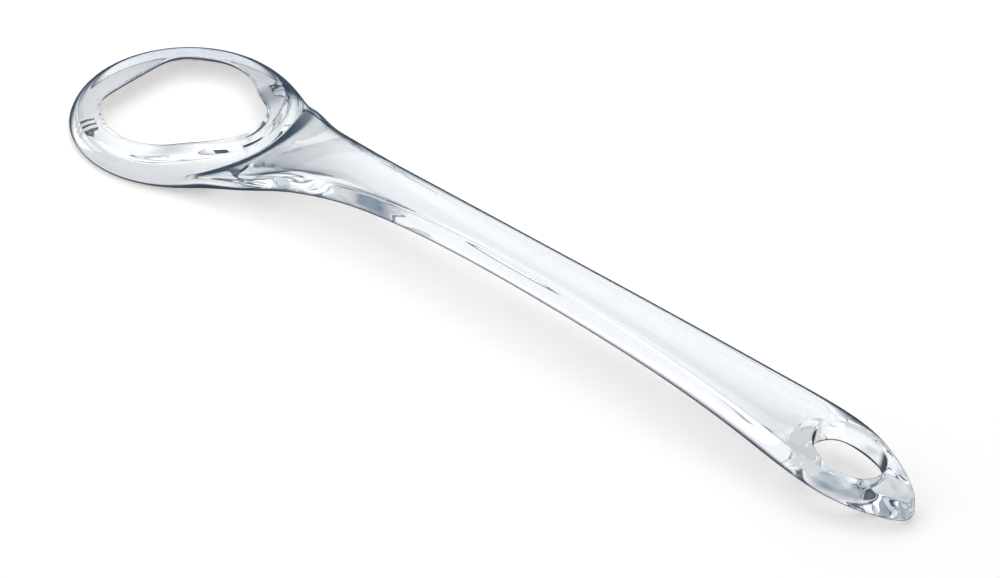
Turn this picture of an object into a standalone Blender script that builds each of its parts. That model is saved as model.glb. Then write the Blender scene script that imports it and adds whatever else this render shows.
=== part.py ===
"""Long clear moulded handle with an open ring at one end and a hang hole at the other.

The handle is one moulding. Its cage is spun and extruded from the sizes below, and a
subdivision rounds it. Metres, +Z up, X from the ring to the tip, floor at Z = 0.
"""

import math

import bmesh
import bpy
from mathutils import Matrix, Vector

MM = 0.001

# Whole handle
LENGTH = 401.0 * MM
RING_RADIUS = 44.0 * MM

# Ring section: a top flange over a round wall, open underneath
RING_TOP = 8.4 * MM
FLANGE = 2.2 * MM
WALL_LEAN = 0.7 * MM
WALL_RADIUS = RING_RADIUS - WALL_LEAN
WALL_HEIGHT = 4.2 * MM
SHOULDER_STEP = 1.9 * MM
SHOULDER_RADIUS = WALL_RADIUS - SHOULDER_STEP
SHOULDER_HEIGHT = 6.6 * MM
CREASE_STEP = 3.1 * MM
CREASE_RADIUS = SHOULDER_RADIUS - CREASE_STEP
BULGE_HEIGHT = 1.7 * MM
WALL_DRAW = 0.19 * MM
FOOT_BEVEL = 0.7 * MM
FOOT_OUTER_RADIUS = RING_RADIUS - FOOT_BEVEL
FOOT_WIDTH = 1.7 * MM
FOOT_INNER_RADIUS = FOOT_OUTER_RADIUS - FOOT_WIDTH
WALL_THICKNESS = 3.1 * MM
RECESS_RADIUS = WALL_RADIUS - WALL_THICKNESS

# Opening: a round nose towards the neck, two straight sides, a round back cut off flat
NOSE_SHELF = 4.0 * MM
NOSE_REACH = RECESS_RADIUS - NOSE_SHELF
NOSE_RADIUS = 19.4 * MM
SIDE_SHELF = 11.2 * MM
SIDE_REACH = RECESS_RADIUS - SIDE_SHELF
SIDE_ANGLE = 57.3
BACK_SHELF = 8.5 * MM
BACK_RADIUS = RECESS_RADIUS - BACK_SHELF
FLAT_SHELF = 13.8 * MM
BACK_FLAT = RECESS_RADIUS - FLAT_SHELF
LIP_WIDTH = 3.9 * MM
OPENING_DRAFT = 1.2 * MM

# The ring's lip climbs towards the neck
LIP_RISE = 5.3 * MM
HOLLOW_RISE = 4.0 * MM
ROOT_FLARE = 4.2 * MM
FLARE_REACH = math.radians(38.0)
RISE_START = 8.8 * MM
RISE_END = 35.2 * MM

# Neck, grip and leaf
ROOT_STEP = 2.84 * MM
WAIST_WIDTH = 16.4 * MM
GRIP_TOP = 26.5 * MM
GRIP_THICKNESS = 11.3 * MM
LEAF_WIDTH = 30.6 * MM
TOP_CROWN = 0.5 * MM
UNDER_CROWN = 0.9 * MM

# Hang hole
HOLE_LENGTH = 27.6 * MM
HOLE_WIDTH = 23.2 * MM
HOLE_FROM_TIP = 28.0 * MM
HOLE_SLOPE = -0.25
HOLE_SET_BACK = 1.8 * MM
UNDER_HOLLOW = 4.0 * MM

# Ribs inside the ring, in two groups opposite each other
RIB_WIDTH = 1.3 * MM
RIB_PITCH = 3.1 * MM
RIB_LENGTH = 5.6 * MM
RIB_INNER = RECESS_RADIUS - RIB_LENGTH
RIB_ROOT = 1.3 * MM
RIB_OUTER = RECESS_RADIUS + RIB_ROOT
RIB_BOTTOM = 2.8 * MM
RIB_TAPER = 2.2 * MM
RIB_SHOULDER = 1.4 * MM
RIB_ANGLE = 60.0

RING_X = RING_RADIUS - LENGTH / 2
NECK_COLUMNS = 4
NECK_HALF_ANGLE = math.radians(45.0)
FREE_STEPS = 14
LEVELS = 2

# Ring section rows, counter-clockwise: name, radius, height, crease
SECTION = (
    ("opening_top", NOSE_REACH, RING_TOP, 0.5),
    ("crease", CREASE_RADIUS, RING_TOP - 0.2 * MM, 0.5),
    ("shoulder", SHOULDER_RADIUS, SHOULDER_HEIGHT, 0.25),
    ("wall", WALL_RADIUS, WALL_HEIGHT, 0.0),
    ("bulge", RING_RADIUS + WALL_DRAW, BULGE_HEIGHT, 0.3),
    ("foot_out", FOOT_OUTER_RADIUS, 0.0, 0.6),
    ("foot_in", FOOT_INNER_RADIUS, 0.0, 0.6),
    ("recess", RECESS_RADIUS, RING_TOP - FLANGE, 0.5),
    ("opening_low", NOSE_REACH, RING_TOP - FLANGE, 0.5),
)
NECK_ROWS = ("shoulder", "wall", "bulge", "foot_out")
LIP_ROWS = ("opening_top", "crease")
HOLLOW_ROWS = ("recess", "opening_low")
FLARE_SHARES = (1.0, 0.85, 0.2, 0.0)
ROOT_BELLY = (1.0, 1.0, 0.92, 0.83)
ARM_BELLY = (1.0, 1.04, 1.03, 0.92)
VALLEY_CREASE = 0.5

# Arm sections: name, share of the way from ring centre to tip, bow, half width, top, thickness,
# fall of the top's corners
ARM = LENGTH - RING_RADIUS
ROOT_AT = (RING_RADIUS + ROOT_STEP) / ARM
HOLE_AT = 1.0 - HOLE_FROM_TIP / ARM
HOLE_REACH = 0.88 * HOLE_LENGTH / 2 / ARM
ARCH = GRIP_TOP
SECTIONS = (
    ("root", ROOT_AT, 8.4 * MM, 32.0 * MM, 0.360 * ARCH, 8.2 * MM, 0.0),
    ("neck", 0.1605, 3.7 * MM, 24.8 * MM, 0.545 * ARCH, 9.2 * MM, 3.0 * MM),
    ("neck", 0.1855, 1.3 * MM, 19.2 * MM, 0.680 * ARCH, 10.0 * MM, 1.5 * MM),
    ("neck", 0.2125, 0.0, 15.0 * MM, 0.794 * ARCH, 11.1 * MM, 0.4 * MM),
    ("neck", 0.2733, 0.0, 11.2 * MM, 0.882 * ARCH, 9.5 * MM, 0.0),
    ("grip", 0.364, 0.0, 0.554 * WAIST_WIDTH, 0.968 * ARCH, 0.90 * GRIP_THICKNESS, 0.0),
    ("waist", 0.463, 0.0, 0.5 * WAIST_WIDTH, ARCH, GRIP_THICKNESS, 0.0),
    ("grip", 0.6045, 0.0, 0.567 * WAIST_WIDTH, 0.965 * ARCH, GRIP_THICKNESS, 0.0),
    ("leaf", 0.728, 0.0, 0.363 * LEAF_WIDTH, 0.890 * ARCH, 11.6 * MM, 0.0),
    ("leaf", 0.8135, 0.0, 0.428 * LEAF_WIDTH, 0.801 * ARCH, 13.0 * MM, 0.0),
    ("leaf", 0.851, 0.0, 0.473 * LEAF_WIDTH, 0.752 * ARCH, 13.6 * MM, 0.0),
    ("hole start", HOLE_AT - HOLE_REACH, 0.0, 0.500 * LEAF_WIDTH, 0.690 * ARCH, 13.5 * MM, 0.0),
    ("hole middle", HOLE_AT, 0.0, 0.478 * LEAF_WIDTH, 0.614 * ARCH, 13.2 * MM, 0.0),
    ("hole end", HOLE_AT + HOLE_REACH, 0.0, 0.365 * LEAF_WIDTH, 0.521 * ARCH, 12.3 * MM, 0.0),
    ("tip", 0.9785, 0.0, 0.250 * LEAF_WIDTH, 0.445 * ARCH, 10.7 * MM, 0.0),
    ("tip", 1.0, 0.0, 0.085 * LEAF_WIDTH, 0.379 * ARCH, 9.6 * MM, 0.0),
)


def clear_scene():
    """Removes every object of the start-up scene."""
    for obj in list(bpy.data.objects):
        bpy.data.objects.remove(obj, do_unlink=True)


def limit_share(spacing):
    """Share of a cage circle's radius that the subdivision keeps for this point spacing."""
    return (2.0 + math.cos(spacing)) / 3.0


def opening_reach(angle):
    """Distance from the ring's centre to the opening's edge in this direction."""
    away = abs(angle)
    centre = NOSE_REACH - NOSE_RADIUS
    tilt = math.radians(SIDE_ANGLE)
    end = math.atan2(NOSE_RADIUS * math.sin(tilt), centre + NOSE_RADIUS * math.cos(tilt))
    if away < end:
        across = centre * math.sin(away)
        return centre * math.cos(away) + math.sqrt(NOSE_RADIUS**2 - across**2)
    reach = BACK_RADIUS
    if math.cos(away - tilt) > 0.3:
        reach = soft_min(reach, SIDE_REACH / math.cos(away - tilt), 12.0)
    if math.cos(away) < -0.3:
        reach = soft_min(reach, -BACK_FLAT / math.cos(away), 30.0)
    return reach


def soft_min(first, second, sharpness):
    """The smaller of two lengths, with a rounded change from one to the other."""
    return (first**-sharpness + second**-sharpness) ** (-1.0 / sharpness)


def lip_height(x, rise):
    """Extra height of the ring's lip, or of the hollow under it, towards the neck."""
    share = min(1.0, max(0.0, (x - RISE_START) / (RISE_END - RISE_START)))
    return rise * share * share * (3.0 - 2.0 * share)


def add_layers(mesh):
    """Adds the crease and the bookkeeping layers that every later step reads."""
    mesh.edges.layers.float.new("crease_edge")
    for name in ("row", "column", "rank", "section"):
        mesh.verts.layers.int.new(name)


def spin_ring(mesh):
    """Spins the section into a closed ring, with closer steps where the neck leaves it."""
    loop = [mesh.verts.new((radius, 0.0, height)) for _, radius, height, _ in SECTION]
    edges = [mesh.edges.new((loop[i], loop[(i + 1) % len(loop)])) for i in range(len(loop))]
    row = mesh.verts.layers.int["row"]
    for index, vert in enumerate(loop):
        vert[row] = index
    turn = Matrix.Rotation(-NECK_HALF_ANGLE, 3, "Z")
    bmesh.ops.rotate(mesh, verts=loop, cent=(0.0, 0.0, 0.0), matrix=turn)
    near = bmesh.ops.spin(
        mesh,
        geom=loop + edges,
        cent=(0.0, 0.0, 0.0),
        axis=(0.0, 0.0, 1.0),
        angle=2.0 * NECK_HALF_ANGLE,
        steps=NECK_COLUMNS,
    )
    bmesh.ops.spin(
        mesh,
        geom=near["geom_last"],
        cent=(0.0, 0.0, 0.0),
        axis=(0.0, 0.0, 1.0),
        angle=2.0 * (math.pi - NECK_HALF_ANGLE),
        steps=FREE_STEPS,
    )
    bmesh.ops.remove_doubles(mesh, verts=mesh.verts, dist=1e-6)


def shape_ring(mesh):
    """Moves the spun points to the opening's outline and up the lip, and sets creases."""
    row = mesh.verts.layers.int["row"]
    column = mesh.verts.layers.int["column"]
    crease = mesh.edges.layers.float["crease_edge"]
    near_step = 2.0 * NECK_HALF_ANGLE / NECK_COLUMNS
    free_step = 2.0 * (math.pi - NECK_HALF_ANGLE) / FREE_STEPS
    for edge in mesh.edges:
        first, second = edge.verts
        if first[row] == second[row]:
            edge[crease] = SECTION[first[row]][3]
    for vert in mesh.verts:
        name = SECTION[vert[row]][0]
        angle = math.atan2(vert.co.y, vert.co.x)
        inside = abs(angle) < NECK_HALF_ANGLE - 0.01
        radius = math.hypot(vert.co.x, vert.co.y)
        if name.startswith("opening"):
            radius = opening_reach(angle)
        if name == "opening_low":
            radius += OPENING_DRAFT
        if name == "crease":
            radius = max(radius, opening_reach(angle) + LIP_WIDTH)
        if not name.startswith("opening"):
            radius /= limit_share(near_step if inside else free_step)
        beyond = abs(angle) - NECK_HALF_ANGLE
        if name in NECK_ROWS and -0.01 < beyond < FLARE_REACH:
            share = FLARE_SHARES[NECK_ROWS.index(name)]
            radius += share * ROOT_FLARE * (1.0 - beyond / FLARE_REACH) ** 2
        vert.co.x = radius * math.cos(angle)
        vert.co.y = radius * math.sin(angle)
        if name in LIP_ROWS:
            vert.co.z += lip_height(vert.co.x, LIP_RISE)
        if name in HOLLOW_ROWS:
            vert.co.z += lip_height(vert.co.x, HOLLOW_RISE)
        vert[column] = round(angle / near_step) + NECK_COLUMNS // 2
    for name in ("opening_top", "opening_low"):
        fit_row(mesh, [vert for vert in mesh.verts if SECTION[vert[row]][0] == name])


def fit_row(mesh, verts):
    """Moves a closed row of points so that its rounded curve passes where they stand."""
    verts.sort(key=lambda vert: math.atan2(vert.co.y, vert.co.x))
    wanted = [vert.co.copy() for vert in verts]
    count = len(verts)
    for _ in range(12):
        now = [vert.co.copy() for vert in verts]
        for i, vert in enumerate(verts):
            curve = (now[i - 1] + 4.0 * now[i] + now[(i + 1) % count]) / 6.0
            vert.co = now[i] + wanted[i] - curve


def neck_faces(mesh):
    """The patch of the ring's outer wall that the neck grows from, ready to extrude."""
    row = mesh.verts.layers.int["row"]
    rank = mesh.verts.layers.int["rank"]
    section = mesh.verts.layers.int["section"]
    crease = mesh.edges.layers.float["crease_edge"]
    patch = []
    for face in mesh.faces:
        names = [SECTION[vert[row]][0] for vert in face.verts]
        angles = [abs(math.atan2(vert.co.y, vert.co.x)) for vert in face.verts]
        if all(name in NECK_ROWS for name in names) and max(angles) < NECK_HALF_ANGLE + 0.02:
            patch.append(face)
    inside = set(patch)
    for face in patch:
        for vert in face.verts:
            vert[rank] = NECK_ROWS.index(SECTION[vert[row]][0])
            vert[section] = 1
        for edge in face.edges:
            first, second = edge.verts
            level = first[row] == second[row]
            if all(other in inside for other in edge.link_faces) or level:
                edge[crease] = 0.0
            if level and first[rank] == 0 and second[rank] == 0:
                edge[crease] = VALLEY_CREASE
    return patch


def place_section(verts, number, column, rank):
    """Puts one extruded patch of points on the arm section of this number."""
    _, share, bow, half_width, top, thickness, fall = SECTIONS[number]
    for vert in verts:
        across = 2.0 * vert[column] / NECK_COLUMNS - 1.0
        down = vert[rank] / 3.0
        belly = (ARM_BELLY if number else ROOT_BELLY)[vert[rank]]
        crown = 0.0
        if vert[rank] == 0:
            crown = TOP_CROWN * (1.0 - across * across)
        if vert[rank] == 3:
            crown = -UNDER_CROWN * (1.0 - across * across)
        vert.co.x = share * ARM - bow * across * across
        vert.co.y = across * half_width * belly
        vert.co.z = top - thickness * down - fall * across * across * (1.0 - down) + crown


def extrude_arm(mesh, patch):
    """Extrudes the patch from section to section out to the tip, and creases the corners."""
    column = mesh.verts.layers.int["column"]
    rank = mesh.verts.layers.int["rank"]
    section = mesh.verts.layers.int["section"]
    crease = mesh.edges.layers.float["crease_edge"]
    for number in range(len(SECTIONS)):
        made = bmesh.ops.extrude_face_region(mesh, geom=patch)["geom"]
        bmesh.ops.delete(mesh, geom=patch, context="FACES")
        verts = [item for item in made if isinstance(item, bmesh.types.BMVert)]
        place_section(verts, number, column, rank)
        for vert in verts:
            vert[section] = number + 2
        patch = [item for item in made if isinstance(item, bmesh.types.BMFace)]
        for face in patch:
            for edge in face.edges:
                edge[crease] = 0.0
    top_crease = (0.0, 0.2, 0.45, 0.55, 0.5)
    low_crease = (0.0, 0.3, 0.3, 0.3, 0.3)
    for edge in mesh.edges:
        first, second = edge.verts
        nearer = min(first[section], second[section])
        side = first[column] in (0, NECK_COLUMNS) and first[column] == second[column]
        if nearer == 0 or first[section] == second[section] or not side:
            continue
        if first[rank] == 0 and second[rank] == 0:
            edge[crease] = top_crease[min(nearer, 4)]
        if first[rank] == 3 and second[rank] == 3:
            edge[crease] = low_crease[min(nearer, 4)]


def open_hang_hole(mesh):
    """Clears the faces over and under the hole, shapes both rims and bridges them."""
    column = mesh.verts.layers.int["column"]
    rank = mesh.verts.layers.int["rank"]
    section = mesh.verts.layers.int["section"]
    crease = mesh.edges.layers.float["crease_edge"]
    middle = [row[0] for row in SECTIONS].index("hole middle") + 2
    centre_x = HOLE_AT * ARM
    share = limit_share(math.radians(45.0))
    rims = []
    for level in (0, 3):
        hub = next(
            vert
            for vert in mesh.verts
            if (vert[column], vert[rank], vert[section]) == (2, level, middle)
        )
        rim = {edge for face in hub.link_faces for edge in face.edges if hub not in edge.verts}
        low = level != 0
        height = hub.co.z + (UNDER_HOLLOW + UNDER_CROWN if low else 0.0)
        for vert in {vert for edge in rim for vert in edge.verts}:
            angle = math.atan2(vert[column] - 2, vert[section] - middle)
            along = HOLE_LENGTH / 2 * math.cos(angle) / share
            vert.co.x = centre_x + along - (HOLE_SET_BACK if low else 0.0)
            vert.co.y = HOLE_WIDTH / 2 * math.sin(angle) / share
            vert.co.z = height + HOLE_SLOPE * along
        for edge in rim:
            edge[crease] = 0.5
        rims += list(rim)
        bmesh.ops.delete(mesh, geom=[hub], context="VERTS")
    bmesh.ops.bridge_loops(mesh, edges=rims)


def make_cage():
    """The whole cage of the handle, ring centre at the origin."""
    mesh = bmesh.new()
    add_layers(mesh)
    spin_ring(mesh)
    shape_ring(mesh)
    extrude_arm(mesh, neck_faces(mesh))
    open_hang_hole(mesh)
    bmesh.ops.recalc_face_normals(mesh, faces=mesh.faces)
    return mesh


def clear_plastic():
    """Glossy clear moulded plastic."""
    material = bpy.data.materials.new("clear_plastic")
    material.use_nodes = True
    shader = material.node_tree.nodes["Principled BSDF"]
    shader.inputs["Base Color"].default_value = (0.90, 0.94, 0.97, 1.0)
    shader.inputs["Roughness"].default_value = 0.04
    shader.inputs["IOR"].default_value = 1.49
    shader.inputs["Transmission Weight"].default_value = 1.0
    shader.inputs["Alpha"].default_value = 0.45
    return material


def link_mesh(name, mesh):
    """Makes an object of this name from a bmesh and links it to the scene."""
    data = bpy.data.meshes.new(name)
    mesh.to_mesh(data)
    mesh.free()
    data.shade_smooth()
    obj = bpy.data.objects.new(name, data)
    bpy.context.scene.collection.objects.link(obj)
    return obj


def make_ribs():
    """Both groups of radial ribs under the flange, as one hidden shape to be joined."""
    mesh = bmesh.new()
    top = RING_TOP - 0.45 * FLANGE
    for group in (RIB_ANGLE, RIB_ANGLE - 180.0):
        turn = Matrix.Rotation(math.radians(group), 4, "Z")
        for index in (-1, 0, 1):
            size = Vector((RIB_OUTER - RIB_INNER, RIB_WIDTH, top - RIB_BOTTOM))
            centre = Vector(
                ((RIB_OUTER + RIB_INNER) / 2, index * RIB_PITCH, (top + RIB_BOTTOM) / 2)
            )
            place = turn @ Matrix.Translation(centre) @ Matrix.Diagonal(size.to_4d())
            made = bmesh.ops.create_cube(mesh, size=1.0, matrix=place)
            for vert in made["verts"]:
                inner = (turn.inverted() @ vert.co).x < centre.x
                upper = vert.co.z > centre.z
                if inner and not upper:
                    vert.co.z = RIB_BOTTOM + RIB_TAPER
                if upper and not inner:
                    vert.co.z = top - RIB_SHOULDER
    bmesh.ops.translate(mesh, verts=mesh.verts, vec=(RING_X, 0.0, 0.0))
    bmesh.ops.recalc_face_normals(mesh, faces=mesh.faces)
    ribs = link_mesh("ring_ribs", mesh)
    ribs.hide_render = True
    ribs.display_type = "WIRE"
    return ribs


def make_handle():
    """The one moulding: cage, rounding, then the ribs joined on."""
    mesh = make_cage()
    bmesh.ops.translate(mesh, verts=mesh.verts, vec=(RING_X, 0.0, 0.0))
    handle = link_mesh("clear_handle", mesh)
    handle.data.materials.append(clear_plastic())
    rounding = handle.modifiers.new("rounding", "SUBSURF")
    rounding.levels = LEVELS
    rounding.render_levels = LEVELS
    join = handle.modifiers.new("ribs", "BOOLEAN")
    join.operation = "UNION"
    join.solver = "EXACT"
    join.object = make_ribs()
    return handle


clear_scene()
make_handle()
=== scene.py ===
"""Looks for a long clear plastic handle with an open ring, an arched grip and a hang hole.

The handle is one moulding. Its fine shape is spun, extruded and bridged from the same
sizes as the CAD part, rounded by a subdivision, and dressed in clear plastic.
Lengths are metres, +X runs from the ring to the tip, and +Z points up.
"""

import logging
import math
from dataclasses import dataclass, field
from enum import Enum
from typing import Any

import bmesh
import bpy
from mathutils import Matrix, Vector

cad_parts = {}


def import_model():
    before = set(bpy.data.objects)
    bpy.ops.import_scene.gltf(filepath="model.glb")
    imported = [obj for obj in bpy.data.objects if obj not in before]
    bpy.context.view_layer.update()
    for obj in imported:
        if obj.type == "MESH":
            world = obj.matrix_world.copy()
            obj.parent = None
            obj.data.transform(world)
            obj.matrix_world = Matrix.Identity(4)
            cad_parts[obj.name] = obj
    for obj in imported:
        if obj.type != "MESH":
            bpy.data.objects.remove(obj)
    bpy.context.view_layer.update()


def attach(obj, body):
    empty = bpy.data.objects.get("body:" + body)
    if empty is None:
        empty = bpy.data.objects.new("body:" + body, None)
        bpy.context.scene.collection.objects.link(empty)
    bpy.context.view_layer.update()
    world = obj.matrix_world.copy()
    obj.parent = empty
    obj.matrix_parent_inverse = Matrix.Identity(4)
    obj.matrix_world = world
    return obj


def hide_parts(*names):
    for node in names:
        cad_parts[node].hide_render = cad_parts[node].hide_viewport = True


LOG = logging.getLogger("clear_handle")

MM = 0.001

Colour = tuple[float, float, float, float]
Triple = tuple[float, float, float]
# The reading that gives 0, then the reading that gives 1.
Span = tuple[float, float]

BLACK: Colour = (0.0, 0.0, 0.0, 1.0)
WARM: Triple = (1.0, 0.982, 0.962)
NOISE_MIDDLE = 0.5

# The neck's patch has this many faces side by side, and points in ranks from 0 at its top.
NECK_COLUMNS = 4
LAST_RANK = 3
# Sections across the neck and the arm are counted from the patch on.
ROOT_SECTION = 1
# Slack, in radians, for telling whether a point of the ring is on the neck's patch.
ANGLE_SLACK = 0.01


class Row(Enum):
    """A row of points round the ring: its place in the ring's section, counter-clockwise."""

    OPENING_TOP = 0
    LIP = 1
    SHOULDER = 2
    WALL = 3
    BULGE = 4
    FOOT_OUT = 5
    FOOT_IN = 6
    RECESS = 7
    OPENING_LOW = 8


NECK_RANKS = {Row.SHOULDER: 0, Row.WALL: 1, Row.BULGE: 2, Row.FOOT_OUT: LAST_RANK}


class Link:
    """A shader value or socket whose arithmetic adds Math nodes."""

    def __init__(self, tree: bpy.types.NodeTree, value: Any) -> None:
        """Wraps a socket, or a plain number, of one node tree.

        Args:
            tree: The node tree that new Math nodes go into.
            value: The output socket or the number to wrap.
        """
        self.tree = tree
        self.value = value

    def _math(self, operation: str, first: Any, second: Any) -> "Link":
        """Adds one Math node.

        Args:
            operation: The node's operation.
            first: The first operand, a Link or a number.
            second: The second operand, a Link or a number.

        Returns:
            The node's result.
        """
        node = self.tree.nodes.new("ShaderNodeMath")
        node.operation = operation
        for socket, operand in zip(node.inputs, (first, second)):
            plug(self.tree, socket, operand)
        return Link(self.tree, node.outputs[0])

    def __add__(self, other: Any) -> "Link":
        """Sum."""
        return self._math("ADD", self, other)

    def __radd__(self, other: Any) -> "Link":
        """Sum, reflected."""
        return self._math("ADD", other, self)

    def __sub__(self, other: Any) -> "Link":
        """Difference."""
        return self._math("SUBTRACT", self, other)

    def __rsub__(self, other: Any) -> "Link":
        """Difference, reflected."""
        return self._math("SUBTRACT", other, self)

    def __mul__(self, other: Any) -> "Link":
        """Product."""
        return self._math("MULTIPLY", self, other)

    def __rmul__(self, other: Any) -> "Link":
        """Product, reflected."""
        return self._math("MULTIPLY", other, self)


def plug(tree: bpy.types.NodeTree, socket: bpy.types.NodeSocket, value: Any) -> None:
    """Links a value into a socket, or sets it there.

    Args:
        tree: The node tree of the socket.
        socket: The input socket.
        value: A Link, or what the socket's default takes.
    """
    if isinstance(value, Link):
        value = value.value
    if isinstance(value, bpy.types.NodeSocket):
        tree.links.new(value, socket)
    else:
        socket.default_value = value


def find_socket(sockets: Any, name: str) -> bpy.types.NodeSocket:
    """The enabled socket of this name, or of this identifier where names repeat.

    Args:
        sockets: A node's inputs or outputs.
        name: The name or the identifier, with spaces for _.

    Returns:
        The socket.
    """
    return next(
        socket
        for socket in sockets
        if socket.enabled and name in (socket.name, socket.identifier.replace("_", " "))
    )


def between(share: Link, first: Link, second: Any) -> Link:
    """The value this share of the way from the first to the second."""
    return first + share * (second - first)


class Nodes:
    """The node tree of a material or a world, with one method that adds any node."""

    def __init__(self, tree: bpy.types.NodeTree) -> None:
        """Wraps a tree.

        Args:
            tree: The node tree.
        """
        self.tree = tree

    def node(
        self, kind: str, output: str, settings: dict[str, Any] | None = None, **inputs: Any
    ) -> Link:
        """Adds a node, sets it, then fills its sockets.

        Args:
            kind: The node's type.
            output: The name of the output that is wanted.
            settings: Attributes to set first.
            inputs: Values or links by socket, with _ for a space.

        Returns:
            The wanted output.
        """
        node = self.tree.nodes.new(kind)
        for key, value in (settings or {}).items():
            setattr(node, key, value)
        for key, value in inputs.items():
            plug(self.tree, find_socket(node.inputs, key.replace("_", " ")), value)
        return Link(self.tree, find_socket(node.outputs, output))

    def axis(self, vector: Link, name: str) -> Link:
        """One of a vector's three numbers, by its axis."""
        return self.node("ShaderNodeSeparateXYZ", name, Vector=vector)

    def mix(self, share: Link, first: Any, second: Any) -> Link:
        """Mixes two colours.

        Args:
            share: How much of the second colour.
            first: The first colour or its Link.
            second: The second colour or its Link.

        Returns:
            The mixed colour.
        """
        settings = {"data_type": "RGBA"}
        return self.node("ShaderNodeMix", "Result", settings, Factor=share, A=first, B=second)

    def blend(self, share: Link, first: Link, second: Link) -> Link:
        """Mixes two shaders.

        Args:
            share: How much of the second shader.
            first: The first shader.
            second: The second shader.

        Returns:
            The mixed shader.
        """
        sockets = {"Fac": share, "Shader": first, "Shader_001": second}
        return self.node("ShaderNodeMixShader", "Shader", **sockets)

    def ramp(self, value: Link, start: float, end: float) -> Link:
        """Eases a value from 0 at one reading to 1 at another.

        Args:
            value: The value to read.
            start: The reading that gives 0.
            end: The reading that gives 1.

        Returns:
            The eased share.
        """
        settings = {"interpolation_type": "SMOOTHSTEP"}
        return self.node(
            "ShaderNodeMapRange", "Result", settings, Value=value, From_Min=start, From_Max=end
        )

    def show(self, output: str, shader: Link) -> None:
        """Links a finished shader into the output node of this name."""
        plug(self.tree, self.tree.nodes[output].inputs["Surface"], shader)


class Shader(Nodes):
    """A material's node tree, round one Principled BSDF."""

    def __init__(self, name: str) -> None:
        """Makes a material with a lone Principled BSDF.

        Args:
            name: The material's name.
        """
        self.material = bpy.data.materials.new(name)
        self.material.use_nodes = True
        super().__init__(self.material.node_tree)
        self.surface = self.tree.nodes["Principled BSDF"]

    def set(self, **inputs: Any) -> None:
        """Fills sockets of the Principled BSDF by name, with _ for a space."""
        for key, value in inputs.items():
            plug(self.tree, find_socket(self.surface.inputs, key.replace("_", " ")), value)


@dataclass(frozen=True)
class Spot:
    """What the clear plastic's nodes read at one point of the handle.

    Along and across are its place, stretched is its place drawn out along the flow, and up
    and sideways say how far its face looks that way. Inside is 1 where the face is met from
    within, and shading is 1 where light on its way to a matt surface meets it.
    """

    along: Link
    across: Link
    stretched: Link
    up: Link
    sideways: Link
    inside: Link
    shading: Link


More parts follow.
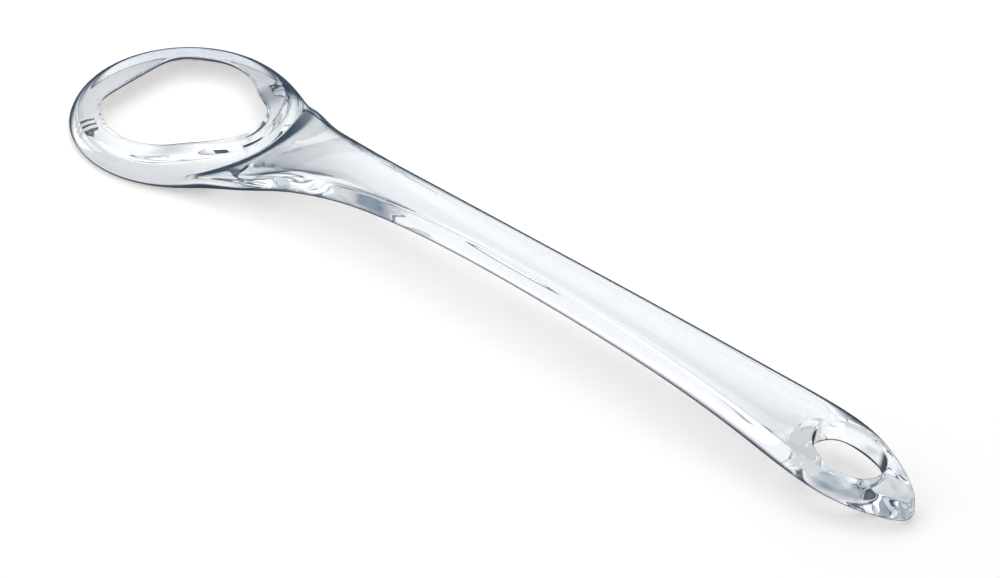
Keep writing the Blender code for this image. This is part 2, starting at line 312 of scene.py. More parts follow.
@dataclass(frozen=True)
class ClearPlastic:
    """Clear moulded plastic: a faint cool body, a high gloss and flow waves, with painted shade on
    the top faces, painted dark outlines at the outer edges, painted dark streaks and a painted
    glow.
    """

    name: str = "clear_plastic"
    refraction: float = 1.49
    haze: float = 0.012

    # Tints of the body, of the painted shade on its top faces and of its painted dark streaks, and
    # of the shade that it throws.
    thin_tint: Colour = (0.87, 0.885, 0.90, 1.0)
    top_shade_tint: Colour = (0.53, 0.56, 0.595, 1.0)
    painted_streak_tint: Colour = (0.05, 0.09, 0.14, 1.0)
    shade_tint: Colour = (0.90, 0.905, 0.91, 1.0)
    ring_shade: Colour = (0.50, 0.505, 0.51, 1.0)

    # Where the arm and its grip start and end, along X.
    arm_start: Span = (-0.125, -0.105)
    arm_end: Span = (0.197, 0.178)
    grip_start: Span = (-0.078, -0.060)
    grip_end: Span = (0.158, 0.140)

    # The painted shade of the top faces: darker towards the arm's -Y edge, and in patches of the
    # flow noise on the ring.
    top_span: Span = (0.45, 0.85)
    ring_flow: Span = (0.35, 0.65)
    top_shade_span: Span = (0.009, -0.007)
    top_shade_depth: float = 0.75
    top_shade_swing: float = 0.5

    # The painted dark outline: painted dark refraction where the outer faces are edge-on, and
    # painted shade where they curl under.
    outline_shade_colour: Colour = (0.022, 0.052, 0.095, 1.0)
    outline_shade_strength: float = 0.95
    tilt_span: Span = (0.004, 0.040)
    arm_facing: Span = (0.42, 0.52)
    below_facing: Span = (0.52, 0.68)
    ring_facing: Span = (0.52, 0.74)
    under_span: Span = (-0.20, -0.50)
    over_span: Span = (0.15, 0.45)

    # The glow that stands for light after this many bounces, which off the grip carries the painted
    # dark streaks.
    scatter_span: Span = (4.0, 8.0)
    scatter_colour: Colour = (0.93, 0.98, 1.0, 1.0)
    deep_colour: Colour = (0.10, 0.20, 0.33, 1.0)
    scatter_strength: float = 1.25

    # The slow noise of the flow and its waves, and the finer noise of the painted dark streaks.
    flow_scale: float = 14.0
    flow_stretch: Triple = (0.35, 1.0, 1.0)
    flow_roughness: float = 0.45
    noise_detail: float = 2.0
    wave_depth: float = 0.03 * MM
    wave_strength: float = 0.2
    streak_scale: float = 90.0
    streak_span: Span = (0.30, 0.52)

    # The ovals round the hang hole and round the neck, where the inner side gets painted dark
    # streaks.
    hole_place: float = 172.5 * MM
    hole_reach: tuple[float, float] = (13.8 * MM, 11.6 * MM)
    wall_span: Span = (2.0, 1.4)
    neck_place: float = -104.0 * MM
    neck_reach: tuple[float, float] = (20.0 * MM, 20.0 * MM)
    neck_span: Span = (1.0, 0.5)

    def material(self) -> bpy.types.Material:
        """Builds the material.

        Returns:
            The finished material.
        """
        shader = Shader(self.name)
        spot = self.read(shader)
        flow = shader.node(
            "ShaderNodeTexNoise",
            "Fac",
            Vector=spot.stretched,
            Scale=self.flow_scale,
            Detail=self.noise_detail,
            Roughness=self.flow_roughness,
        )
        noise = shader.node(
            "ShaderNodeTexNoise",
            "Fac",
            Vector=spot.stretched,
            Scale=self.streak_scale,
            Detail=self.noise_detail,
        )
        streaks = shader.ramp(noise, *self.streak_span)
        # The body's tint, darkened by painted shade on the top faces.
        body = shader.mix(self.painted_top_shade_share(shader, spot, flow), self.thin_tint, self.top_shade_tint)
        # Painted dark streaks, standing for dark surroundings refracted through the plastic, on the
        # inner side by the hole and the neck.
        painted_streaked = shader.mix(streaks, self.painted_streak_tint, self.thin_tint)
        body = shader.mix(self.painted_streak_share(shader, spot), body, painted_streaked)
        arm = shader.ramp(spot.along, *self.arm_start)
        shade = shader.mix(arm, self.ring_shade, self.shade_tint)
        relief = shader.node(
            "ShaderNodeBump",
            "Normal",
            Strength=self.wave_strength,
            Distance=self.wave_depth,
            Height=flow,
        )
        shader.set(
            Base_Color=shader.mix(spot.shading, body, shade),
            Roughness=self.haze * flow * flow,
            IOR=self.refraction,
            Transmission_Weight=1.0,
            Normal=relief,
        )
        self.cover(shader, spot, streaks)
        return shader.material

    def read(self, shader: Shader) -> Spot:
        """Adds the nodes that read a point of the handle.

        Args:
            shader: The material's nodes so far.

        Returns:
            The readings.
        """
        place = shader.node("ShaderNodeTexCoord", "Object")
        normal = shader.node("ShaderNodeNewGeometry", "Normal")
        return Spot(
            along=shader.axis(place, "X"),
            across=shader.axis(place, "Y"),
            stretched=shader.node(
                "ShaderNodeMapping", "Vector", Vector=place, Scale=self.flow_stretch
            ),
            up=shader.axis(normal, "Z"),
            sideways=shader.axis(normal, "Y"),
            inside=shader.node("ShaderNodeNewGeometry", "Backfacing"),
            shading=shader.node("ShaderNodeLightPath", "Is Diffuse Ray"),
        )

    def painted_top_shade_share(self, shader: Shader, spot: Spot, flow: Link) -> Link:
        """How strongly the painted shade shows on top faces: rising towards one edge of the arm, in
        noise patches on the ring.

        Args:
            shader: The material's nodes so far.
            spot: The readings of the point.
            flow: The slow noise that follows the moulding's flow.

        Returns:
            The share, from 0 to 1.
        """
        arm = shader.ramp(spot.along, *self.arm_start)
        on_ring = shader.ramp(flow, *self.ring_flow)
        depth = self.top_shade_depth + self.top_shade_swing * (flow - NOISE_MIDDLE)
        on_arm = shader.ramp(spot.across, *self.top_shade_span) * depth
        top = shader.ramp(spot.up, *self.top_span) * (1.0 - spot.inside)
        return top * between(arm, on_ring, on_arm)

    def painted_streak_share(self, shader: Shader, spot: Spot) -> Link:
        """How strongly the painted dark streaks show: on the inner side of the hang hole's wall and
        of the neck.

        Args:
            shader: The material's nodes so far.
            spot: The readings of the point.

        Returns:
            The share, from 0 to 1.
        """
        shares = []
        for place, reach, span in (
            (self.hole_place, self.hole_reach, self.wall_span),
            (self.neck_place, self.neck_reach, self.neck_span),
        ):
            along = (spot.along - place) * (1.0 / reach[0])
            across = spot.across * (1.0 / reach[1])
            shares.append(shader.ramp(along * along + across * across, *span))
        hole, neck = shares
        return (hole + neck) * spot.inside

    def painted_outline_share(self, shader: Shader, spot: Spot) -> Link:
        """How much of the painted dark outline shows: painted dark refraction where the outer side
        is edge-on, painted shade where it curls under.

        Args:
            shader: The material's nodes so far.
            spot: The readings of the point.

        Returns:
            The share, from 0 to 1.
        """
        facing = shader.node("ShaderNodeLayerWeight", "Facing")
        arm = shader.ramp(spot.along, *self.arm_start) * shader.ramp(spot.along, *self.arm_end)
        tilt = between(arm, 1.0 - spot.up * spot.up, spot.sideways * spot.sideways)
        on_ring = shader.ramp(facing, *self.ring_facing)
        below = shader.ramp(facing, *self.below_facing)
        over = shader.ramp(spot.up, *self.over_span)
        on_arm = between(over, below, shader.ramp(facing, *self.arm_facing))
        side = shader.ramp(tilt, *self.tilt_span) * between(arm, on_ring, on_arm)
        under = shader.ramp(spot.up, *self.under_span)
        both = side + under - side * under
        return both * (1.0 - spot.inside) * (1.0 - spot.shading) * self.outline_shade_strength

    def cover(self, shader: Shader, spot: Spot, streaks: Link) -> None:
        """Lays the painted dark outline over the clear body, and the painted glow that stands for
        scattered light over both.

        Args:
            shader: The material's nodes so far.
            spot: The readings of the point.
            streaks: The painted dark streaks, from 0 where they are deep to 1 where they are clear.
        """
        body = Link(shader.tree, shader.surface.outputs[0])
        # The painted dark outline: a dark shader mixed over the clear body.
        dark = shader.node(
            "ShaderNodeBsdfPrincipled",
            "BSDF",
            Base_Color=self.outline_shade_colour,
            Specular_IOR_Level=0.0,
        )
        # The painted glow for light after many bounces, with painted dark streaks off the grip.
        grip = shader.ramp(spot.along, *self.grip_start) * shader.ramp(spot.along, *self.grip_end)
        clear = between(grip, streaks, 1.0)
        scattered = shader.node(
            "ShaderNodeBsdfPrincipled",
            "BSDF",
            Base_Color=BLACK,
            Emission_Color=shader.mix(clear, self.deep_colour, self.scatter_colour),
            Emission_Strength=self.scatter_strength,
        )
        depth = shader.node("ShaderNodeLightPath", "Ray Depth")
        outlined = shader.blend(self.painted_outline_share(shader, spot), body, dark)
        lost = shader.ramp(depth, *self.scatter_span)
        shader.show("Material Output", shader.blend(lost, outlined, scattered))


@dataclass(frozen=True)
class PaleFloor:
    """Matt white paper for the floor, with a faint glow that is stronger through the plastic."""

    name: str = "pale_paper"
    colour: Colour = (0.95, 0.95, 0.95, 1.0)
    roughness: float = 0.9
    grain_scale: float = 40.0
    grain_depth: float = 0.05
    glow: Colour = (0.262, 0.24, 0.218, 1.0)
    seen_through: Colour = (0.36, 0.36, 0.36, 1.0)

    def material(self) -> bpy.types.Material:
        """Builds the material, with a barely uneven gloss.

        Returns:
            The finished material.
        """
        shader = Shader(self.name)
        place = shader.node("ShaderNodeTexCoord", "Object")
        grain = shader.node("ShaderNodeTexNoise", "Fac", Vector=place, Scale=self.grain_scale)
        through = shader.node("ShaderNodeLightPath", "Is Transmission Ray")
        shader.set(
            Base_Color=self.colour,
            Roughness=self.roughness + self.grain_depth * (grain - NOISE_MIDDLE),
            Emission_Color=shader.mix(through, self.glow, self.seen_through),
            Emission_Strength=1.0,
        )
        return shader.material


def smooth_step(value: float, start: float, end: float) -> float:
    """Eased share of the way from start to end.

    Args:
        value: Where to look.
        start: Where the share is 0.
        end: Where the share is 1.

    Returns:
        The share, from 0 to 1.
    """
    share = min(1.0, max(0.0, (value - start) / (end - start)))
    return share * share * (3.0 - 2.0 * share)


def soft_min(first: float, second: float, sharpness: float) -> float:
    """The smaller of two lengths, with a rounded change from one to the other.

    Args:
        first: One length.
        second: The other length.
        sharpness: How tight the change is.

    Returns:
        The rounded smaller length.
    """
    return (first**-sharpness + second**-sharpness) ** (-1.0 / sharpness)


def limit_share(spacing: float) -> float:
    """Share of a cage circle's radius that the subdivision keeps for this point spacing."""
    return (2.0 + math.cos(spacing)) / 3.0


class Cage:
    """The handle's coarse mesh, with the layers that tell its rows and columns apart."""

    def __init__(self) -> None:
        """Starts an empty mesh with its layers."""
        self.mesh = bmesh.new()
        self.mesh.edges.layers.float.new("crease_edge")
        numbers = self.mesh.verts.layers.int
        names = ("row", "column", "rank", "section")
        for name in names:
            numbers.new(name)
        self.crease = self.mesh.edges.layers.float["crease_edge"]
        self.row, self.column, self.rank, self.section = (numbers[name] for name in names)

    def settle(self) -> None:
        """Puts the points and the faces in a fixed order, so that runs differ by rounding alone."""
        points = sorted(self.mesh.verts, key=lambda vert: tuple(vert.co))
        order = {vert: number for number, vert in enumerate(points)}
        faces = sorted(self.mesh.faces, key=lambda face: sorted(order[v] for v in face.verts))
        places = {face: number for number, face in enumerate(faces)}
        self.mesh.verts.sort(key=order.get)
        self.mesh.faces.sort(key=places.get)

    def level(self, edge: bmesh.types.BMEdge, layer: Any) -> bool:
        """True if both ends of the edge have the same number in this layer."""
        first, second = edge.verts
        return first[layer] == second[layer]


@dataclass
class Opening:
    """The ring's opening: a round nose to the neck, two straight sides and a flat back."""

    nose_reach: float = 36.2 * MM
    nose_radius: float = 19.4 * MM
    side_reach: float = 29.0 * MM
    side_angle: float = math.radians(57.3)
    side_sharpness: float = 12.0
    back_radius: float = 31.7 * MM
    back_flat: float = 26.4 * MM
    back_sharpness: float = 30.0
    least_cosine: float = 0.3

    def reach(self, angle: float) -> float:
        """Distance from the ring's centre to the opening's edge.

        Args:
            angle: The direction, from +X towards +Y.

        Returns:
            The distance.
        """
        away = abs(angle)
        centre = self.nose_reach - self.nose_radius
        rise = self.nose_radius * math.sin(self.side_angle)
        end = math.atan2(rise, centre + self.nose_radius * math.cos(self.side_angle))
        if away < end:
            across = centre * math.sin(away)
            return centre * math.cos(away) + math.sqrt(self.nose_radius**2 - across**2)
        reach = self.back_radius
        to_side = math.cos(away - self.side_angle)
        to_back = -math.cos(away)
        if to_side > self.least_cosine:
            reach = soft_min(reach, self.side_reach / to_side, self.side_sharpness)
        if to_back > self.least_cosine:
            reach = soft_min(reach, self.back_flat / to_back, self.back_sharpness)
        return reach


@dataclass
class Ring:
    """The open ring: a top flange over a round wall, with a lip that climbs to the neck."""

    # The section, from the flange over the outer wall to the foot and the recess.
    radius: float = 44.0 * MM
    top: float = 8.4 * MM
    flange: float = 2.2 * MM
    shoulder: tuple[float, float] = (41.4 * MM, 6.6 * MM)
    wall: tuple[float, float] = (43.3 * MM, 4.2 * MM)
    wall_draw: float = 0.19 * MM
    bulge_height: float = 1.7 * MM
    foot_outer: float = 43.3 * MM
    foot_inner: float = 41.6 * MM
    recess: float = 40.2 * MM

    # The opening and its lip, which climbs between two places along X.
    opening: Opening = field(default_factory=Opening)
    opening_draft: float = 1.2 * MM
    lip_radius: float = 38.3 * MM
    lip_width: float = 3.9 * MM
    lip_drop: float = 0.2 * MM
    lip_rise: float = 5.3 * MM
    hollow_rise: float = 4.0 * MM
    rise_start: float = 8.8 * MM
    rise_end: float = 35.2 * MM

    # The flare at the neck's root, with its share at each rank, and the valley behind the lip.
    neck_half_angle: float = math.radians(45.0)
    root_flare: float = 4.2 * MM
    flare_reach: float = math.radians(38.0)
    flare_shares: tuple[float, ...] = (1.0, 0.85, 0.2, 0.0)
    valley_crease: float = 0.5

    # Steps round the free part of the ring, and passes that fit the opening's outline.
    free_steps: int = 14
    fit_passes: int = 12

    def section(self) -> dict[Row, tuple[float, float, float]]:
        """Radius, height and crease of each row of the ring's section."""
        low = self.top - self.flange
        return {
            Row.OPENING_TOP: (self.opening.nose_reach, self.top, 0.5),
            Row.LIP: (self.lip_radius, self.top - self.lip_drop, 0.5),
            Row.SHOULDER: (*self.shoulder, 0.25),
            Row.WALL: (*self.wall, 0.0),
            Row.BULGE: (self.radius + self.wall_draw, self.bulge_height, 0.3),
            Row.FOOT_OUT: (self.foot_outer, 0.0, 0.6),
            Row.FOOT_IN: (self.foot_inner, 0.0, 0.6),
            Row.RECESS: (self.recess, low, 0.5),
            Row.OPENING_LOW: (self.opening.nose_reach, low, 0.5),
        }

    def steps(self) -> tuple[float, float]:
        """Angle between neighbouring points, in the neck's part and in the free part."""
        near = 2.0 * self.neck_half_angle / NECK_COLUMNS
        return near, 2.0 * (math.pi - self.neck_half_angle) / self.free_steps

    def spin(self, cage: Cage) -> None:
        """Spins the section into a closed ring, with closer steps at the neck.

        Args:
            cage: The cage to add the ring to.
        """
        mesh = cage.mesh
        loop = [mesh.verts.new((radius, 0.0, z)) for radius, z, _ in self.section().values()]
        edges = [mesh.edges.new((loop[i - 1], loop[i])) for i in range(len(loop))]
        for row, vert in zip(Row, loop):
            vert[cage.row] = row.value
        turn = Matrix.Rotation(-self.neck_half_angle, 3, "Z")
        bmesh.ops.rotate(mesh, verts=loop, cent=(0.0, 0.0, 0.0), matrix=turn)
        geometry: list[Any] = loop + edges
        spans = (
            (2.0 * self.neck_half_angle, NECK_COLUMNS),
            (2.0 * (math.pi - self.neck_half_angle), self.free_steps),
        )
        for angle, steps in spans:
            geometry = bmesh.ops.spin(
                mesh,
                geom=geometry,
                cent=(0.0, 0.0, 0.0),
                axis=(0.0, 0.0, 1.0),
                angle=angle,
                steps=steps,
            )["geom_last"]
        bmesh.ops.remove_doubles(mesh, verts=mesh.verts, dist=1e-6)

    def shape(self, cage: Cage) -> None:
        """Moves the spun points to the opening's outline and up the lip, and creases them.

        Args:
            cage: The cage that holds the ring.
        """
        near_step, free_step = self.steps()
        section = self.section()
        for edge in cage.mesh.edges:
            if cage.level(edge, cage.row):
                edge[cage.crease] = section[Row(edge.verts[0][cage.row])][2]
        for vert in cage.mesh.verts:
            row = Row(vert[cage.row])
            angle = math.atan2(vert.co.y, vert.co.x)
            beyond = abs(angle) - self.neck_half_angle
            step = near_step if beyond < -ANGLE_SLACK else free_step
            radius = math.hypot(vert.co.x, vert.co.y)
            if row is Row.LIP:
                radius = max(radius, self.opening.reach(angle) + self.lip_width)
            if row in (Row.OPENING_TOP, Row.OPENING_LOW):
                draft = self.opening_draft if row is Row.OPENING_LOW else 0.0
                radius = self.opening.reach(angle) + draft
            else:
                radius /= limit_share(step)
            if row in NECK_RANKS and -ANGLE_SLACK < beyond < self.flare_reach:
                share = self.flare_shares[NECK_RANKS[row]]
                radius += share * self.root_flare * (1.0 - beyond / self.flare_reach) ** 2
            vert.co.x = radius * math.cos(angle)
            vert.co.y = radius * math.sin(angle)
            climb = smooth_step(vert.co.x, self.rise_start, self.rise_end)
            if row in (Row.OPENING_TOP, Row.LIP):
                vert.co.z += self.lip_rise * climb
            if row in (Row.RECESS, Row.OPENING_LOW):
                vert.co.z += self.hollow_rise * climb
            vert[cage.column] = round(angle / near_step) + NECK_COLUMNS // 2
        for row in (Row.OPENING_TOP, Row.OPENING_LOW):
            self.fit_row([v for v in cage.mesh.verts if v[cage.row] == row.value])

    def fit_row(self, verts: list[bmesh.types.BMVert]) -> None:
        """Moves a closed row so that its rounded curve passes where its points stand.

        Args:
            verts: The row's points, in any order.
        """
        verts.sort(key=lambda vert: math.atan2(vert.co.y, vert.co.x))
        wanted = [vert.co.copy() for vert in verts]
        count = len(verts)
        for _ in range(self.fit_passes):
            now = [vert.co.copy() for vert in verts]
            for i, vert in enumerate(verts):
                curve = (now[i - 1] + 4.0 * now[i] + now[(i + 1) % count]) / 6.0
                vert.co = now[i] + wanted[i] - curve

    def neck_faces(self, cage: Cage) -> list[bmesh.types.BMFace]:
        """The patch of the outer wall that the neck grows from.

        Args:
            cage: The cage that holds the ring.

        Returns:
            The patch's faces, ready to extrude.
        """
        patch = []
        for face in cage.mesh.faces:
            rows = {Row(vert[cage.row]) for vert in face.verts}
            widest = max(abs(math.atan2(vert.co.y, vert.co.x)) for vert in face.verts)
            if rows <= set(NECK_RANKS) and widest < self.neck_half_angle + ANGLE_SLACK:
                patch.append(face)
        inside = set(patch)
        for face in patch:
            for vert in face.verts:
                vert[cage.rank] = NECK_RANKS[Row(vert[cage.row])]
                vert[cage.section] = ROOT_SECTION
            for edge in face.edges:
                level = cage.level(edge, cage.row)
                if level or all(other in inside for other in edge.link_faces):
                    edge[cage.crease] = 0.0
                if level and edge.verts[0][cage.rank] == 0:
                    edge[cage.crease] = self.valley_crease
        return patch


@dataclass(frozen=True)
class Station:
    """One section across the arm.

    The share is of the way from the ring's centre to the tip, the bow is how far the section's
    edges lag behind its middle, and the fall is how far its upper corners drop.
    """

    share: float
    bow: float
    half_width: float
    top: float
    thickness: float
    fall: float = 0.0


@dataclass
class Arm:
    """The neck, grip and leaf: one flat tube that arches from the ring to the tip."""

    # The reach from the ring's centre to the tip, and the main sizes on the way.
    reach: float = 357.0 * MM
    waist: float = 16.4 * MM
    arch: float = 26.5 * MM
    grip: float = 11.3 * MM
    leaf: float = 30.6 * MM
    top_crown: float = 0.5 * MM
    under_crown: float = 0.9 * MM

    # The hang hole and the relief under it.
    hole_length: float = 27.6 * MM
    hole_width: float = 23.2 * MM
    hole_from_tip: float = 28.0 * MM
    hole_slope: float = -0.25
    hole_set_back: float = 1.8 * MM
    under_hollow: float = 4.0 * MM
    hole_crease: float = 0.5
    hole_points: int = 8
    hole_section: float = 0.88

    # Shares of the width at each rank, then creases at each section from the ring on.
    root_belly: tuple[float, ...] = (1.0, 1.0, 0.92, 0.83)
    belly: tuple[float, ...] = (1.0, 1.04, 1.03, 0.92)
    top_crease: tuple[float, ...] = (0.0, 0.1, 0.2, 0.25, 0.25)
    low_crease: tuple[float, ...] = (0.0, 0.3, 0.3, 0.3, 0.3)

    def hole_at(self) -> float:
        """Share of the way from the ring's centre to the tip where the hole is."""
        return 1.0 - self.hole_from_tip / self.reach

    def stations(self) -> list[Station]:
        """The arm's sections in order, from the ring to the tip."""
        hole = self.hole_at()
        half = self.hole_section * self.hole_length / 2 / self.reach
        waist, leaf, arch = self.waist, self.leaf, self.arch
        return [
            Station(0.1312, 8.4 * MM, 32.0 * MM, 0.360 * arch, 8.2 * MM),
            Station(0.1605, 3.7 * MM, 24.8 * MM, 0.545 * arch, 9.2 * MM, 3.0 * MM),
            Station(0.1855, 1.3 * MM, 19.2 * MM, 0.680 * arch, 10.0 * MM, 1.5 * MM),
            Station(0.2125, 0.0, 15.0 * MM, 0.794 * arch, 11.1 * MM, 0.4 * MM),
            Station(0.2733, 0.0, 11.2 * MM, 0.882 * arch, 9.5 * MM),
            Station(0.364, 0.0, 0.554 * waist, 0.968 * arch, 0.90 * self.grip),
            Station(0.463, 0.0, 0.5 * waist, arch, self.grip),
            Station(0.6045, 0.0, 0.567 * waist, 0.965 * arch, self.grip),
            Station(0.728, 0.0, 0.363 * leaf, 0.890 * arch, 11.6 * MM),
            Station(0.8135, 0.0, 0.428 * leaf, 0.801 * arch, 13.0 * MM),
            Station(0.851, 0.0, 0.473 * leaf, 0.752 * arch, 13.6 * MM),
            Station(hole - half, 0.0, 0.500 * leaf, 0.690 * arch, 13.5 * MM),
            Station(hole, 0.0, 0.478 * leaf, 0.614 * arch, 13.2 * MM),
            Station(hole + half, 0.0, 0.365 * leaf, 0.521 * arch, 12.3 * MM),
            Station(0.9785, 0.0, 0.250 * leaf, 0.445 * arch, 10.7 * MM),
            Station(1.0, 0.0, 0.085 * leaf, 0.379 * arch, 9.6 * MM),
        ]

    def place(self, cage: Cage, station: Station, verts: list[bmesh.types.BMVert]) -> None:
        """Puts one extruded patch of points on a section of the arm.

        Args:
            cage: The cage that holds the points.
            station: The section.
            verts: The patch's points.
        """
        belly = self.belly if verts[0][cage.section] > ROOT_SECTION else self.root_belly
        for vert in verts:
            across = 2.0 * vert[cage.column] / NECK_COLUMNS - 1.0
            rank = vert[cage.rank]
            down = rank / LAST_RANK
            crown = {0: self.top_crown, LAST_RANK: -self.under_crown}.get(rank, 0.0)
            vert.co.x = station.share * self.reach - station.bow * across * across
            vert.co.y = across * station.half_width * belly[rank]
            vert.co.z = station.top - station.thickness * down
            vert.co.z += crown * (1.0 - across * across)
            vert.co.z -= station.fall * across * across * (1.0 - down)

    def extrude(self, cage: Cage, patch: list[bmesh.types.BMFace]) -> None:
        """Extrudes the neck's patch from section to section out to the tip.

        Args:
            cage: The cage to extrude in.
            patch: The faces to start from.
        """
        for section, station in enumerate(self.stations(), ROOT_SECTION + 1):
            made = bmesh.ops.extrude_face_region(cage.mesh, geom=patch)["geom"]
            bmesh.ops.delete(cage.mesh, geom=patch, context="FACES")
            verts = [item for item in made if isinstance(item, bmesh.types.BMVert)]
            self.place(cage, station, verts)
            for vert in verts:
                vert[cage.section] = section
            patch = [item for item in made if isinstance(item, bmesh.types.BMFace)]
            for edge in {edge for face in patch for edge in face.edges}:
                edge[cage.crease] = 0.0
        self.crease_corners(cage)

    def crease_corners(self, cage: Cage) -> None:
        """Creases the two upper and the two lower corners that run along the arm.

        Args:
            cage: The cage that holds the arm.
        """
        for edge in cage.mesh.edges:
            first, second = edge.verts
            nearer = min(first[cage.section], second[cage.section])
            along = nearer > 0 and not cage.level(edge, cage.section)
            outer = cage.level(edge, cage.column) and first[cage.column] in (0, NECK_COLUMNS)
            if not along or not outer:
                continue
            for rank, creases in ((0, self.top_crease), (LAST_RANK, self.low_crease)):
                if first[cage.rank] == second[cage.rank] == rank:
                    edge[cage.crease] = creases[min(nearer, len(creases) - 1)]

    def open_hole(self, cage: Cage) -> None:
        """Clears the faces over and under the hang hole, shapes both rims and bridges them.

        Args:
            cage: The cage that holds the arm.
        """
        share = self.hole_at()
        shares = [station.share for station in self.stations()]
        middle = shares.index(share) + ROOT_SECTION + 1
        centre = NECK_COLUMNS // 2
        keep = limit_share(2.0 * math.pi / self.hole_points)
        rims: list[bmesh.types.BMEdge] = []
        for rank in (0, LAST_RANK):
            wanted = (centre, rank, middle)
            hub = next(
                vert
                for vert in cage.mesh.verts
                if (vert[cage.column], vert[cage.rank], vert[cage.section]) == wanted
            )
            rim = [e for face in hub.link_faces for e in face.edges if hub not in e.verts]
            lift = self.under_hollow + self.under_crown if rank else 0.0
            back = self.hole_set_back if rank else 0.0
            for vert in {vert for edge in rim for vert in edge.verts}:
                angle = math.atan2(vert[cage.column] - centre, vert[cage.section] - middle)
                along = self.hole_length / 2 * math.cos(angle) / keep
                vert.co.x = share * self.reach + along - back
                vert.co.y = self.hole_width / 2 * math.sin(angle) / keep
                vert.co.z = hub.co.z + lift + self.hole_slope * along
            for edge in rim:
                edge[cage.crease] = self.hole_crease
            rims += rim
            bmesh.ops.delete(cage.mesh, geom=[hub], context="VERTS")
        bmesh.ops.bridge_loops(cage.mesh, edges=rims)


@dataclass
class Ribs:
    """Two groups of radial ribs under the ring's flange, opposite each other."""

    width: float = 1.3 * MM
    pitch: float = 3.1 * MM
    inner: float = 34.6 * MM
    outer: float = 41.5 * MM
    bottom: float = 2.8 * MM
    taper: float = 2.2 * MM
    shoulder: float = 1.4 * MM
    angle: float = math.radians(60.0)
    count: int = 3

    def build(self, top: float) -> bmesh.types.BMesh:
        """Builds both groups as one mesh, the ring's centre at the origin.

        Args:
            top: Height that the ribs reach, inside the flange.

        Returns:
            The mesh.
        """
        mesh = bmesh.new()
        size = Vector((self.outer - self.inner, self.width, top - self.bottom))
        middle_x = (self.outer + self.inner) / 2
        middle_z = (top + self.bottom) / 2
        for group in (self.angle, self.angle - math.pi):
            turn = Matrix.Rotation(group, 4, "Z")
            for index in range(self.count):
                offset = (index - (self.count - 1) / 2) * self.pitch
                shift = Matrix.Translation((middle_x, offset, middle_z))
                place = shift @ Matrix.Diagonal(size.to_4d())
                made = bmesh.ops.create_cube(mesh, size=1.0, matrix=place)
                self.slant(made["verts"], middle_x, middle_z, top)
                bmesh.ops.transform(mesh, matrix=turn, verts=made["verts"])
        bmesh.ops.recalc_face_normals(mesh, faces=mesh.faces)
        return mesh

    def slant(
        self, verts: list[bmesh.types.BMVert], middle_x: float, middle_z: float, top: float
    ) -> None:
        """Slants a rib's lower inner edge and its upper outer edge.

        Args:
            verts: The rib's corners, before it is turned.
            middle_x: Middle of the rib along the radius.
            middle_z: Middle of the rib's height.
            top: Height of the rib's top.
        """
        for vert in verts:
            inner = vert.co.x < middle_x
            upper = vert.co.z > middle_z
            if inner and not upper:
                vert.co.z = self.bottom + self.taper
            if upper and not inner:
                vert.co.z = top - self.shoulder


@dataclass
class Handle:
    """The whole clear handle: ring, neck, grip, leaf, hang hole and ribs, in one piece."""

    ring: Ring = field(default_factory=Ring)
    arm: Arm = field(default_factory=Arm)
    ribs: Ribs = field(default_factory=Ribs)
    rib_root: float = 0.45
    finish: ClearPlastic = field(default_factory=ClearPlastic)
    levels: int = 4

    def ring_x(self) -> float:
        """The ring centre's place along X, with the whole handle centred on the origin."""
        return (self.ring.radius - self.arm.reach) / 2

    def build(self) -> bpy.types.Object:
        """Builds and dresses the handle.

        Returns:
            The finished piece.
        """
        cage = Cage()
        self.ring.spin(cage)
        self.ring.shape(cage)
        self.arm.extrude(cage, self.ring.neck_faces(cage))
        self.arm.open_hole(cage)
        bmesh.ops.recalc_face_normals(cage.mesh, faces=cage.mesh.faces)
        cage.settle()
        blank = self.link("handle_blank", cage.mesh)
        root = self.ring.top - self.rib_root * self.ring.flange
        ribs = self.link("rib_blank", self.ribs.build(root))
        rounding = blank.modifiers.new("rounding", "SUBSURF")
        rounding.levels = self.levels
        rounding.render_levels = self.levels
        join = blank.modifiers.new("ribs", "BOOLEAN")
        join.operation = "UNION"
        join.solver = "EXACT"
        join.object = ribs
        graph = bpy.context.evaluated_depsgraph_get()
        data = bpy.data.meshes.new_from_object(blank.evaluated_get(graph))
        piece = bpy.data.objects.new("handle_moulding", data)
        bpy.context.scene.collection.objects.link(piece)
        data.shade_smooth()
        data.materials.clear()
        data.materials.append(self.finish.material())
        for helper in (blank, ribs):
            bpy.data.objects.remove(helper, do_unlink=True)
        return piece

    def link(self, name: str, mesh: bmesh.types.BMesh) -> bpy.types.Object:
        """Moves a mesh to the ring's place and makes an object of it.

        Args:
            name: The object's name.
            mesh: The mesh, which is freed.

        Returns:
            The linked object.
        """
        bmesh.ops.translate(mesh, verts=mesh.verts, vec=(self.ring_x(), 0.0, 0.0))
        data = bpy.data.meshes.new(name)
        mesh.to_mesh(data)
        mesh.free()
        obj = bpy.data.objects.new(name, data)
        bpy.context.scene.collection.objects.link(obj)
        return obj


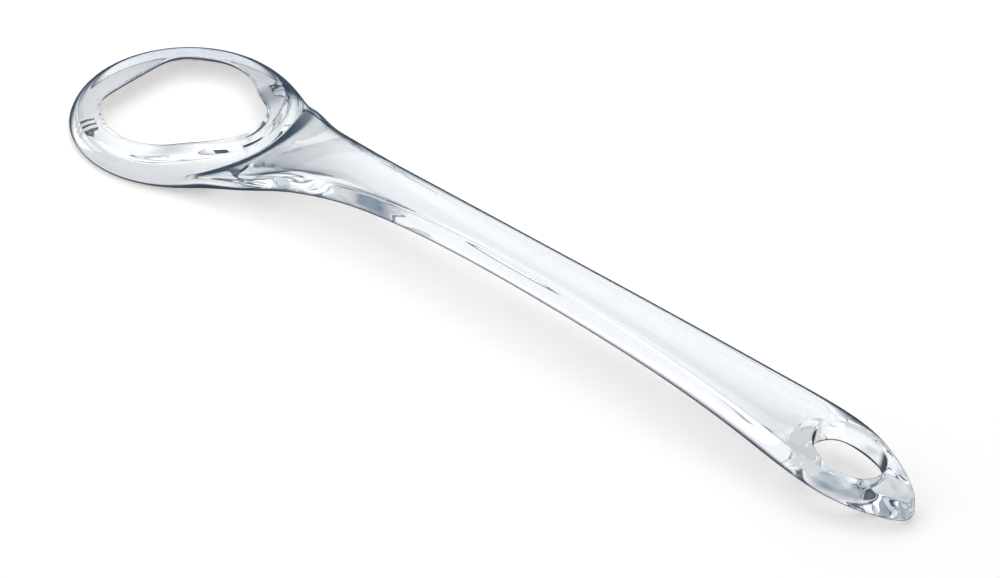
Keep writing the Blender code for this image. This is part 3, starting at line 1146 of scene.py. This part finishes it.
@dataclass
class Viewpoint:
    """The photograph's camera, set by where the ring's centre shows on the floor."""

    frame_width: int = 1000
    frame_height: int = 578
    ring_pixel: tuple[float, float] = (185.4, 121.9)
    pixels_per_radius: float = 115.6
    radii_away: float = 50.0
    pitch: float = math.radians(36.3)
    heading: float = math.radians(-42.9)
    sensor: float = 36.0
    clip_end: float = 100.0

    def focal_pixels(self) -> float:
        """The focal length, in pixels of the frame."""
        return self.pixels_per_radius * self.radii_away

    def axes(self) -> tuple[Vector, Vector]:
        """The level directions to the right of the frame and away from the camera."""
        cosine, sine = math.cos(self.heading), math.sin(self.heading)
        return Vector((cosine, -sine, 0.0)), Vector((sine, cosine, 0.0))

    def to_world(self, level: Vector) -> Vector:
        """Turns a vector of right, forward and up shares into the world's axes.

        Args:
            level: The three shares.

        Returns:
            The vector in the world.
        """
        right, forward = self.axes()
        return right * level.x + forward * level.y + Vector((0.0, 0.0, level.z))

    def add_camera(self, centre: Vector, radius: float) -> None:
        """Makes the camera and gives it to the scene.

        Args:
            centre: The ring's centre on the floor.
            radius: The ring's outer radius.
        """
        focal = self.focal_pixels()
        cosine, sine = math.cos(self.pitch), math.sin(self.pitch)
        off_x = self.ring_pixel[0] - self.frame_width / 2
        off_y = self.ring_pixel[1] - self.frame_height / 2
        ray = Vector((off_x / focal, 1.0, -off_y / focal)).normalized()
        level = Vector((ray.x, ray.y * cosine + ray.z * sine, ray.z * cosine - ray.y * sine))
        place = centre - self.to_world(level) * self.radii_away * radius
        right = self.to_world(Vector((1.0, 0.0, 0.0)))
        upward = self.to_world(Vector((0.0, sine, cosine)))
        behind = -self.to_world(Vector((0.0, cosine, -sine)))
        data = bpy.data.cameras.new("photo_camera")
        data.sensor_width = self.sensor
        data.lens = self.sensor * focal / self.frame_width
        data.clip_end = self.clip_end
        camera = bpy.data.objects.new("photo_camera", data)
        camera.matrix_world = Matrix((right, upward, behind)).transposed().to_4x4()
        camera.location = place
        bpy.context.scene.collection.objects.link(camera)
        bpy.context.scene.camera = camera


@dataclass(frozen=True)
class SoftCard:
    """A large soft light, aimed at the origin."""

    name: str
    azimuth: float
    elevation: float
    distance: float
    width: float
    height: float
    radiance: float
    colour: Triple = WARM

    def add(self, view: Viewpoint) -> None:
        """Adds the light, its azimuth counted from straight ahead towards the right.

        Args:
            view: The camera's viewpoint, which the azimuth starts from.
        """
        level = math.cos(self.elevation)
        shares = (
            level * math.sin(self.azimuth),
            level * math.cos(self.azimuth),
            math.sin(self.elevation),
        )
        way = view.to_world(Vector(shares))
        data = bpy.data.lights.new(self.name, "AREA")
        data.shape = "RECTANGLE"
        data.size = self.width
        data.size_y = self.height
        data.energy = self.radiance * math.pi * self.width * self.height
        data.color = self.colour
        light = bpy.data.objects.new(self.name, data)
        light.location = way * self.distance
        light.rotation_euler = (-way).to_track_quat("-Z", "Y").to_euler()
        light.visible_camera = False
        bpy.context.scene.collection.objects.link(light)


@dataclass
class Studio:
    """A pale floor, three big soft cards over, behind and beside the handle, and a dim room."""

    room: Colour = (0.052, 0.08, 0.12, 1.0)
    backdrop: Colour = (0.95, 0.95, 0.95, 1.0)
    floor_size: float = 5.0
    floor_drop: float = 0.2 * MM
    paper: PaleFloor = field(default_factory=PaleFloor)
    cards: tuple[SoftCard, ...] = (
        SoftCard("top_card", math.radians(8), math.radians(82), 1.6, 1.9, 1.9, 1.46),
        SoftCard("back_card", math.radians(8), math.radians(44), 1.8, 2.6, 1.6, 0.95),
        SoftCard("left_card", math.radians(-98), math.radians(34), 1.8, 2.6, 1.7, 0.98),
    )

    def build(self, view: Viewpoint) -> None:
        """Adds the floor, the cards and the room.

        Args:
            view: The camera's viewpoint, which the cards are placed by.
        """
        mesh = bmesh.new()
        bmesh.ops.create_grid(mesh, x_segments=1, y_segments=1, size=self.floor_size)
        bmesh.ops.translate(mesh, verts=mesh.verts, vec=(0.0, 0.0, -self.floor_drop))
        data = bpy.data.meshes.new("studio_floor")
        mesh.to_mesh(data)
        mesh.free()
        data.materials.append(self.paper.material())
        floor = bpy.data.objects.new("studio_floor", data)
        bpy.context.scene.collection.objects.link(floor)
        for card in self.cards:
            card.add(view)
        self.add_room()

    def add_room(self) -> None:
        """Lights the handle with a dim room and shows a pale backdrop behind it."""
        world = bpy.data.worlds.new("studio_room")
        world.use_nodes = True
        nodes = Nodes(world.node_tree)
        dim = nodes.tree.nodes["Background"]
        plug(nodes.tree, dim.inputs["Color"], self.room)
        pale = nodes.node("ShaderNodeBackground", "Background", Color=self.backdrop)
        seen = nodes.node("ShaderNodeLightPath", "Is Camera Ray")
        nodes.show("World Output", nodes.blend(seen, Link(nodes.tree, dim.outputs[0]), pale))
        bpy.context.scene.world = world
        bpy.context.scene.view_settings.view_transform = "Standard"


def main() -> None:
    """Builds the studio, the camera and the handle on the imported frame."""
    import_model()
    view = Viewpoint()
    handle = Handle()
    view.add_camera(Vector((handle.ring_x(), 0.0, 0.0)), handle.ring.radius)
    Studio().build(view)
    piece = handle.build()
    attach(piece, "root")
    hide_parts("clear_handle")
    LOG.info("%s: %d faces", piece.name, len(piece.data.polygons))


if __name__ == "__main__":
    logging.basicConfig(level=logging.INFO)
    main()
